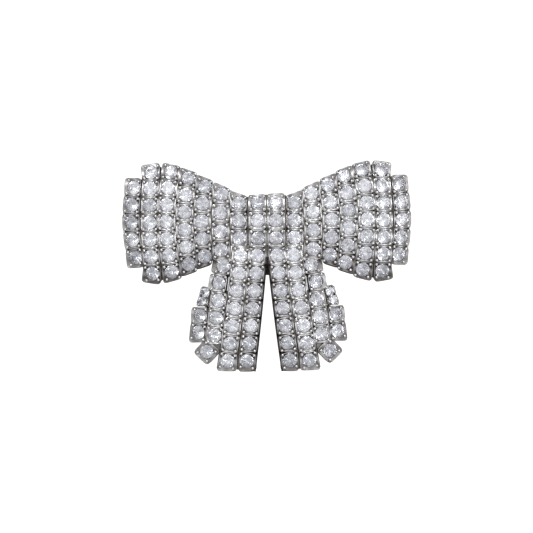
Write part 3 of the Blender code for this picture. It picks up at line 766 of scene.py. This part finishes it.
def make_crystals(name, places, painted_shades, stone, materials, rng, mirror):
    """The stones of a row, each turned, tilted and aged a little differently, and darkened as painted shade
    in shaded cups.
    """
    bm = bmesh.new()
    layer = bm.verts.layers.float.new("age_and_shade")
    for place, tone in zip(places, painted_shades):
        turn = Matrix.Rotation(rng.uniform(0, math.tau), 4, "Z")
        tilt = Matrix.Rotation(rng.gauss(0, STONE_TILT), 4, "X")
        tilt = tilt @ Matrix.Rotation(rng.gauss(0, STONE_TILT), 4, "Y")
        sunk = Matrix.Translation((0, 0, -STONE_SINK))
        # Random foil age, plus painted shade from the stone's cup
        age_and_shade = rng.gauss(FOIL_AGE, FOIL_AGE_SPREAD) + PAINTED_SHADE_ON_FOIL * tone
        add_crystal(bm, layer, place @ sunk @ tilt @ turn, stone / 2, age_and_shade)
    return finish_mesh(recalculated(bm), name, materials, mirror)


# ------------------------------------------------------------------ materials

def new_material(name, **values):
    """A material, its node tree and its shader, with these values on the shader's own sockets."""
    material = bpy.data.materials.new(name)
    material.use_nodes = True
    shader = material.node_tree.nodes["Principled BSDF"]
    for key, value in values.items():
        shader.inputs[key.replace("_", " ")].default_value = value
    return material, material.node_tree, shader


def node(tree, kind, inputs=None, **settings):
    made = tree.nodes.new(kind)
    for key, value in settings.items():
        setattr(made, key, value)
    for key, value in (inputs or {}).items():
        made.inputs[key].default_value = value
    return made


def ramp_between(tree, source, low, high, start=0.0, stop=1.0):
    """Colour ramp from low to high as source goes from start to stop."""
    ramp = node(tree, "ShaderNodeValToRGB")
    ramp.color_ramp.elements[0].position = start
    ramp.color_ramp.elements[0].color = (*low, 1.0)
    ramp.color_ramp.elements[1].position = stop
    ramp.color_ramp.elements[1].color = (*high, 1.0)
    tree.links.new(source, ramp.inputs["Fac"])
    return ramp.outputs["Color"]


def map_range(tree, source, low, high, start=0.0, stop=1.0):
    """A value from low to high as source goes from start to stop."""
    made = node(tree, "ShaderNodeMapRange",
                {"From Min": start, "From Max": stop, "To Min": low, "To Max": high})
    tree.links.new(source, made.inputs["Value"])
    return made.outputs["Result"]


def noise(tree, scale, detail=3.0, roughness=0.55):
    """Noise in the object's own space; scale is features to a metre."""
    coordinates = node(tree, "ShaderNodeTexCoord")
    made = node(tree, "ShaderNodeTexNoise", {"Scale": scale, "Detail": detail, "Roughness": roughness})
    tree.links.new(coordinates.outputs["Object"], made.inputs["Vector"])
    return made.outputs["Fac"]


def aged_level(tree, attribute, blotch, strength):
    """A mesh attribute moved up and down by a blotchy noise."""
    attribute_value = node(tree, "ShaderNodeAttribute", attribute_name=attribute).outputs["Fac"]
    spread = node(tree, "ShaderNodeMath", {1: 0.5}, operation="SUBTRACT")
    tree.links.new(blotch, spread.inputs[0])
    shift = node(tree, "ShaderNodeMath", {1: strength}, operation="MULTIPLY_ADD")
    tree.links.new(spread.outputs[0], shift.inputs[0])
    tree.links.new(attribute_value, shift.inputs[2])
    return shift.outputs[0]


def add_bump(tree, shader, source, strength, distance):
    bump = node(tree, "ShaderNodeBump", {"Strength": strength, "Distance": distance})
    tree.links.new(source, bump.inputs["Height"])
    tree.links.new(bump.outputs["Normal"], shader.inputs["Normal"])


def make_antique_metal():
    """Rhodium-tone plate: bright on rims and beads, black oxide left in the recesses, with painted shade
    and painted highlight carried in the same value.
    """
    material, tree, shader = new_material("antique_rhodium", Metallic=1.0)
    level = aged_level(tree, "patina", noise(tree, 900.0, 4.0, 0.6), 0.5)
    depth = node(tree, "ShaderNodeMath", {1: 1 / DEEPEST}, operation="MULTIPLY")
    tree.links.new(level, depth.inputs[0])
    colour = ramp_between(tree, depth.outputs[0], PLATE_POLISHED, PLATE_BLACK, 0.05 / DEEPEST)
    oxide = colour.node.color_ramp.elements.new(1 / DEEPEST)
    oxide.color = (*PLATE_OXIDE_AND_SHADE, 1.0)
    tree.links.new(colour, shader.inputs["Base Color"])
    tree.links.new(map_range(tree, level, 0.24, 0.6), shader.inputs["Roughness"])
    add_bump(tree, shader, noise(tree, 4200.0, 4.0), 0.35, 0.06 * MM)
    return material


def make_bright_metal():
    """Plated steel and brass of the pin back: satin, with fine lengthwise drawing marks."""
    material, tree, shader = new_material("bright_rhodium", Metallic=1.0)
    cloud = noise(tree, 700.0, 3.0)
    tree.links.new(ramp_between(tree, cloud, SATIN_DARK, SATIN_LIGHT, 0.3, 0.7),
                   shader.inputs["Base Color"])
    tree.links.new(map_range(tree, cloud, 0.2, 0.36), shader.inputs["Roughness"])
    coordinates = node(tree, "ShaderNodeTexCoord")
    stretch = node(tree, "ShaderNodeMapping", {"Scale": (300.0, 6000.0, 6000.0)})
    tree.links.new(coordinates.outputs["Object"], stretch.inputs["Vector"])
    lines = node(tree, "ShaderNodeTexNoise", {"Scale": 1.0, "Detail": 2.0})
    tree.links.new(stretch.outputs["Vector"], lines.inputs["Vector"])
    add_bump(tree, shader, lines.outputs["Fac"], 0.12, 0.02 * MM)
    return material


def make_crystal_glass():
    material, tree, shader = new_material("crystal", Transmission_Weight=1.0, IOR=GLASS_IOR, Roughness=0.0)
    tint = noise(tree, 260.0, 2.0)
    tree.links.new(ramp_between(tree, tint, GLASS_COOL, GLASS_CLEAR, 0.35, 0.65),
                   shader.inputs["Base Color"])
    return material


def make_foil():
    """Silver foil behind a crystal, dulled in blotches by age and darkened as painted shade in shaded cups.
    """
    material, tree, shader = new_material("crystal_foil", Metallic=1.0)
    dulled_and_shaded = aged_level(tree, "age_and_shade", noise(tree, 1500.0, 2.0), 2.2)
    tree.links.new(ramp_between(tree, dulled_and_shaded, FOIL_NEW, FOIL_DULL_AND_SHADED), shader.inputs["Base Color"])
    tree.links.new(map_range(tree, dulled_and_shaded, 0.1, 0.3), shader.inputs["Roughness"])
    return material


# ------------------------------------------------------------------ assembly

def place_piece(obj, body, node_name):
    """Fix a piece to its body, in place of a CAD node."""
    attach(obj, body)
    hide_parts(node_name)


def end_cup_frame(spines):
    """The turned cup at the end of a tail, on the same front surface as the row above it."""
    outer = next(spine for spine in spines if spine.spec.name == "stones_3")
    x, z = TAIL_END_CUP
    place = outer.frame(outer.length)
    place.translation = Vector((x, CLOTH_Y - tail_height(x, z, outer.spec), z))
    return place @ Matrix.Rotation(TAIL_END_TURN, 4, "Z")


def softened(name, material, width):
    """A CAD node's own shape with its sharp edges rounded, as plating and tumbling leave them."""
    bm = bmesh.new()
    bm.from_mesh(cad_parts[name].data)
    bmesh.ops.remove_doubles(bm, verts=bm.verts, dist=WELD * MM)
    bmesh.ops.dissolve_limit(bm, angle_limit=FLAT_ANGLE, verts=bm.verts, edges=bm.edges)
    bevel_sharp_edges(bm, SOFTENED_FROM, width * MM, 2, clamp_overlap=True)
    bmesh.ops.triangulate(bm, faces=[face for face in bm.faces if len(face.verts) > 4])
    mesh = bpy.data.meshes.new(name + "_soft")
    bm.to_mesh(mesh)
    bm.free()
    mesh.materials.append(material)
    obj = bpy.data.objects.new(name + "_finished", mesh)
    bpy.context.scene.collection.objects.link(obj)
    shade_round(obj, math.radians(30))
    return obj


def set_patina_and_shade(obj, front, back):
    """Patina and painted shade on the half of a piece towards the front and on the half towards the cloth.
    """
    points = obj.data.vertices
    middle = sum(point.co.y for point in points) / len(points)
    layer = obj.data.attributes.new("patina", "FLOAT", "POINT")
    for point, item in zip(points, layer.data):
        item.value = front if point.co.y < middle else back


def build_side(side, metal, stone_materials, rng):
    """One loop and one tail, on the right or mirrored to the left."""
    mirror = side == "left"
    loop = [Spine(spec, loop_height) for spec in LOOP_ROWS]
    tail = [Spine(spec, tail_height) for spec in TAIL_ROWS]
    end_cup = end_cup_frame(tail)
    for part, spines, end_cups, webs in (("loop", loop, [], []), ("tail", tail, [end_cup], TAIL_WEBS)):
        node_name = "%s_%s" % (side, part)
        casting = make_casting(node_name + "_casting", spines, end_cups, webs, metal, mirror)
        place_piece(casting, "root", node_name)
    for part, spines in (("loop", loop), ("tail", tail)):
        for spine in spines:
            node_name = "%s_%s_%s" % (side, part, spine.spec.name)
            # Painted shade of each cup, which also darkens the foil of its stone
            painted_shades = [painted_shade_at(spine.spec, index) for index in range(spine.spec.count)]
            stones = make_crystals(node_name + "_crystals", spine.stone_frames(), painted_shades,
                                   spine.spec.stone, stone_materials, rng, mirror)
            place_piece(stones, "root", node_name)
    stones = make_crystals(side + "_tail_end_crystal", [end_cup], [END_CUP_PAINTED_SHADE], STONE_DIA,
                           stone_materials, rng, mirror)
    place_piece(stones, "root", side + "_tail_end_stone")


def build_knot(metal, stone_materials, rng):
    place_piece(make_knot(metal), "root", "knot")
    for spec in KNOT_ROWS:
        spine = Spine(spec, knot_height)
        stones = make_crystals("knot_crystals_" + spec.name, spine.stone_frames(), [0.0] * spec.count,
                               spec.stone, stone_materials, rng, False)
        place_piece(stones, "root", "knot_stones_" + spec.name)


def build_back(bright, antique):
    """The plate, the posts and the pin, each a CAD node with softened edges."""
    for name, front in (("backing_plate", PLATE_FRONT_OXIDE_AND_SHADE), ("left_post", POST_PATINA),
                        ("right_post", POST_PATINA)):
        piece = softened(name, antique, 0.15)
        # The plate's front carries oxide and near-black painted shade
        set_patina_and_shade(piece, front, POST_PATINA)
        place_piece(piece, "root", name)
    for name, body, width in (("pin_bar", "root", 0.18), ("hinge_bracket", "root", 0.1),
                              ("hinge_rivet", "root", 0.1), ("catch_housing", "root", 0.1),
                              ("catch_rotor", "rotor", 0.07), ("pin_stem", "pin", 0.06)):
        place_piece(softened(name, bright, width), body, name)


def build_stage():
    bm = bmesh.new()
    bmesh.ops.create_circle(bm, cap_ends=True, segments=96, radius=FLOOR_RADIUS)
    material, tree, shader = new_material("floor", Roughness=0.8)
    tree.links.new(ramp_between(tree, noise(tree, 6.0, 2.0), FLOOR_DARK, FLOOR_LIGHT),
                   shader.inputs["Base Color"])
    floor = finish_mesh(bm, "floor", [material])
    floor.location.z = FLOOR_Z * MM


def add_softbox(name, location, target, size, power):
    light = bpy.data.lights.new(name, "AREA")
    light.shape = "RECTANGLE"
    light.size, light.size_y = size[0] * MM, size[1] * MM
    light.energy = power
    obj = bpy.data.objects.new(name, light)
    bpy.context.scene.collection.objects.link(obj)
    obj.location = Vector(location) * MM
    obj.rotation_euler = (Vector(target) - Vector(location)).to_track_quat("-Z", "Y").to_euler()


def build_lights():
    """Two softboxes in front, in a room that is bright round the camera and white behind the brooch."""
    centre = (0.0, -5.0, -9.0)
    add_softbox("key", (-180.0, -560.0, 420.0), centre, size=(260.0, 200.0), power=1.2)
    add_softbox("fill", (420.0, -480.0, 60.0), centre, size=(120.0, 300.0), power=0.6)
    world = bpy.data.worlds.new("studio")
    bpy.context.scene.world = world
    world.use_nodes = True
    tree = world.node_tree
    way = node(tree, "ShaderNodeTexCoord")
    total = node(tree, "ShaderNodeMix", {"Factor": 1.0}, data_type="RGBA", blend_type="ADD")
    tree.links.new(room_light(tree, way.outputs["Generated"]), total.inputs[MIX_COLOUR_A])
    tree.links.new(sweep_light(tree, way.outputs["Generated"]), total.inputs[MIX_COLOUR_B])
    tree.links.new(total.outputs["Result"], tree.nodes["Background"].inputs["Color"])


def room_light(tree, way):
    """Brightness of the room, by how far a direction is from the light's axis."""
    facing = node(tree, "ShaderNodeVectorMath", {1: LIGHT_AXIS}, operation="DOT_PRODUCT")
    tree.links.new(way, facing.inputs[0])
    ramp = node(tree, "ShaderNodeValToRGB")
    for position, level in ROOM_LEVELS:
        stop = ramp.color_ramp.elements.new(position)
        stop.color = (level, level, level, 1.0)
    ramp.color_ramp.elements.remove(ramp.color_ramp.elements[0])
    ramp.color_ramp.elements.remove(ramp.color_ramp.elements[-1])
    tree.links.new(map_range(tree, facing.outputs["Value"], 0.0, 1.0, -1.0, 1.0), ramp.inputs["Fac"])
    return ramp.outputs["Color"]


def sweep_light(tree, way):
    """Brightness of the white sweep, which fills a cone round +Y."""
    parts = node(tree, "ShaderNodeSeparateXYZ")
    tree.links.new(way, parts.inputs["Vector"])
    return map_range(tree, parts.outputs["Y"], 0.0, 1.0, SWEEP_START, SWEEP_FULL)


def build_camera():
    data = bpy.data.cameras.new("camera")
    camera = bpy.data.objects.new("camera", data)
    bpy.context.scene.collection.objects.link(camera)
    front = CLOTH_Y - LOOP_CROWN
    camera.location = Vector((PICTURE_CENTRE[0], front - CAMERA_DISTANCE, PICTURE_CENTRE[1])) * MM
    upright = Matrix.Rotation(math.pi / 2, 4, "X")
    camera.rotation_euler = (upright @ Matrix.Rotation(-CAMERA_ROLL, 4, "Z")).to_euler()
    data.sensor_width = SENSOR
    data.lens = SENSOR * CAMERA_DISTANCE / PICTURE_WIDTH
    data.clip_start = 0.01
    data.clip_end = 10.0
    bpy.context.scene.camera = camera


def main():
    scene = bpy.context.scene
    scene.view_settings.view_transform = "Standard"
    scene.cycles.max_bounces = 20
    scene.cycles.glossy_bounces = 12
    scene.cycles.transmission_bounces = 16
    build_camera()
    build_stage()
    build_lights()
    antique, bright = make_antique_metal(), make_bright_metal()
    stone_materials = [make_crystal_glass(), make_foil()]
    rng = random.Random(SEED)
    for side in ("right", "left"):
        build_side(side, antique, stone_materials, rng)
    build_knot(antique, stone_materials, rng)
    build_back(bright, antique)


main()
bpy.context.view_layer.update()
